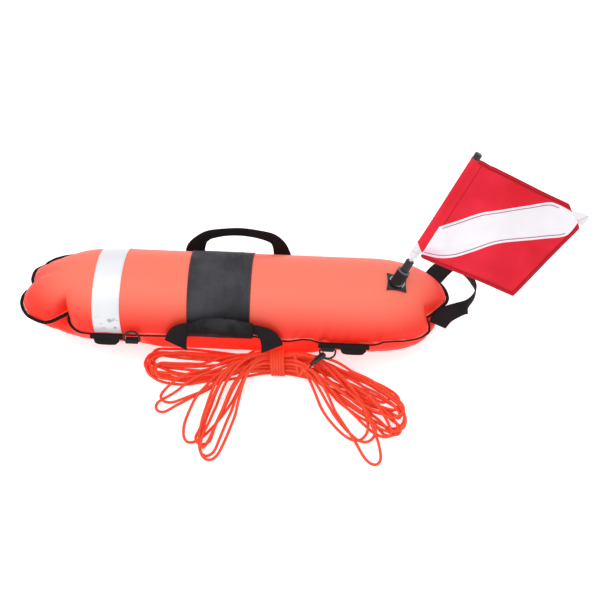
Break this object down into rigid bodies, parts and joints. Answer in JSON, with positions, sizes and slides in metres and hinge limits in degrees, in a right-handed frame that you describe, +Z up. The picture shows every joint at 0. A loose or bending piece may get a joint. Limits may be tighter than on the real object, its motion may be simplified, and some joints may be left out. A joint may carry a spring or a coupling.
{
  "type": "inflatable dive marker buoy",
  "caption": "Torpedo-shaped inflatable dive marker float with webbing handles, D-rings, a flag on a mast in a rubber socket, and a tied hank of floating line on a snap hook.",
  "frame": {"origin": "on the floor under the middle of the float, in the middle of the flat strip that it rests on", "axes": "+X along the float towards the mast and the nose handle, -Y towards the front handle and the line, +Z up"},
  "size_m": [1.0212, 0.3902, 0.4078],
  "materials": {
    "float_fabric": "semi-gloss coated fabric",
    "black_webbing": "woven matte",
    "black_fabric": "woven matte",
    "silver_tape": "silver retroreflective",
    "black_plastic": "moulded",
    "black_rubber": "moulded matte",
    "red_cloth": "woven matte",
    "white_cloth": "woven matte",
    "white_rod": "smooth",
    "orange_line": "braided"
  },
  "bodies": {
    "float": {"upper_panel": "float_fabric", "lower_panel": "float_fabric", "seam_binding": "black_webbing", "reflective_band": "silver_tape", "centre_sleeve": "black_fabric", "ring_tab_front_left": "black_webbing", "ring_tab_front_right": "black_webbing", "ring_tab_rear_left": "black_webbing", "ring_tab_rear_right": "black_webbing", "gear_strip_left": "black_webbing", "gear_strip_right": "black_webbing", "gear_loop_left": "black_webbing", "gear_loop_right": "black_webbing", "flag_base_plate": "black_rubber", "flag_socket_flange": "black_rubber", "flag_socket": "black_rubber", "valve_flange": "black_rubber", "valve_body": "black_plastic", "rope_lead": "orange_line", "rope_hank": "orange_line"},
    "front_handle": {"front_handle_strap": "black_webbing", "front_handle_grip": "black_fabric"},
    "rear_handle": {"rear_handle_strap": "black_webbing"},
    "nose_handle": {"nose_handle_strap": "black_webbing"},
    "front_left_ring": {"d_ring_front_left": "black_plastic"},
    "front_right_ring": {"d_ring_front_right": "black_plastic"},
    "rear_left_ring": {"d_ring_rear_left": "black_plastic"},
    "rear_right_ring": {"d_ring_rear_right": "black_plastic"},
    "hook": {"snap_hook": "black_plastic"},
    "gate": {"snap_gate": "black_plastic"},
    "swivel_eye": {"hook_eye": "black_plastic", "rope_loop": "orange_line", "rope_knot": "orange_line"},
    "mast": {"mast_ferrule": "black_rubber", "mast_rod": "white_rod", "mast_cap": "black_plastic", "flag_tie": "white_cloth"},
    "flag": {"flag_sleeve": "red_cloth", "flag_upper_red": "red_cloth", "flag_stripe": "white_cloth", "flag_lower_red": "red_cloth", "flag_batten": "white_rod", "batten_pocket_fly": "white_cloth"},
    "valve_cap": {"valve_cap": "black_plastic"}
  },
  "joints": [
    {"name": "front_handle_fold", "type": "hinge", "parent": "float", "child": "front_handle", "pos_m": [-0.011, -0.0938, 0.0865], "axis": [1, 0, 0], "range_deg": [0, 95]},
    {"name": "rear_handle_fold", "type": "hinge", "parent": "float", "child": "rear_handle", "pos_m": [0.002, 0.0938, 0.0865], "axis": [-1, 0, 0], "range_deg": [-25, 150]},
    {"name": "nose_handle_fold", "type": "hinge", "parent": "float", "child": "nose_handle", "pos_m": [0.38656, 0.01815, 0.0865], "axis": [-0.2747, 0.9615, 0], "range_deg": [-45, 40]},
    {"name": "front_left_ring_swing", "type": "hinge", "parent": "float", "child": "front_left_ring", "pos_m": [-0.1785, -0.1012, 0.0865], "axis": [1, 0, 0], "range_deg": [0, 190]},
    {"name": "front_right_ring_swing", "type": "hinge", "parent": "float", "child": "front_right_ring", "pos_m": [0.1785, -0.1012, 0.0865], "axis": [1, 0, 0], "range_deg": [-15, 15]},
    {"name": "rear_left_ring_swing", "type": "hinge", "parent": "float", "child": "rear_left_ring", "pos_m": [-0.1785, 0.1012, 0.0865], "axis": [1, 0, 0], "range_deg": [-25, 195]},
    {"name": "rear_right_ring_swing", "type": "hinge", "parent": "float", "child": "rear_right_ring", "pos_m": [0.1785, 0.1012, 0.0865], "axis": [1, 0, 0], "range_deg": [-25, 195]},
    {"name": "hook_swing", "type": "hinge", "parent": "front_right_ring", "child": "hook", "pos_m": [0.16825, -0.10764, 0.07203], "axis": [1, 0, 0], "range_deg": [-15, 15]},
    {"name": "gate_press", "type": "hinge", "parent": "hook", "child": "gate", "pos_m": [0.15785, -0.1147, 0.0638], "axis": [-0.7071, 0.2876, 0.646], "range_deg": [0, 22], "stiffness_Nm_per_rad": 0.02, "springref_deg": -20.05},
    {"name": "eye_swivel", "type": "hinge", "parent": "hook", "child": "swivel_eye", "pos_m": [0.1534, -0.11368, 0.05847], "axis": [-0.7071, -0.2876, -0.646], "continuous": true},
    {"name": "mast_pull", "type": "slide", "parent": "float", "child": "mast", "axis": [0.4348, 0.374, 0.8192], "range_m": [0, 0.015]},
    {"name": "flag_turn", "type": "hinge", "parent": "mast", "child": "flag", "pos_m": [0.29887, -0.00413, 0.17136], "axis": [0.4348, 0.374, 0.8192], "continuous": true},
    {"name": "valve_cap_turn", "type": "hinge", "parent": "float", "child": "valve_cap", "pos_m": [-0.285, 0.07702, 0.05435], "axis": [-0.1042, 0.8641, -0.4924], "range_deg": [0, 540]}
  ]
}
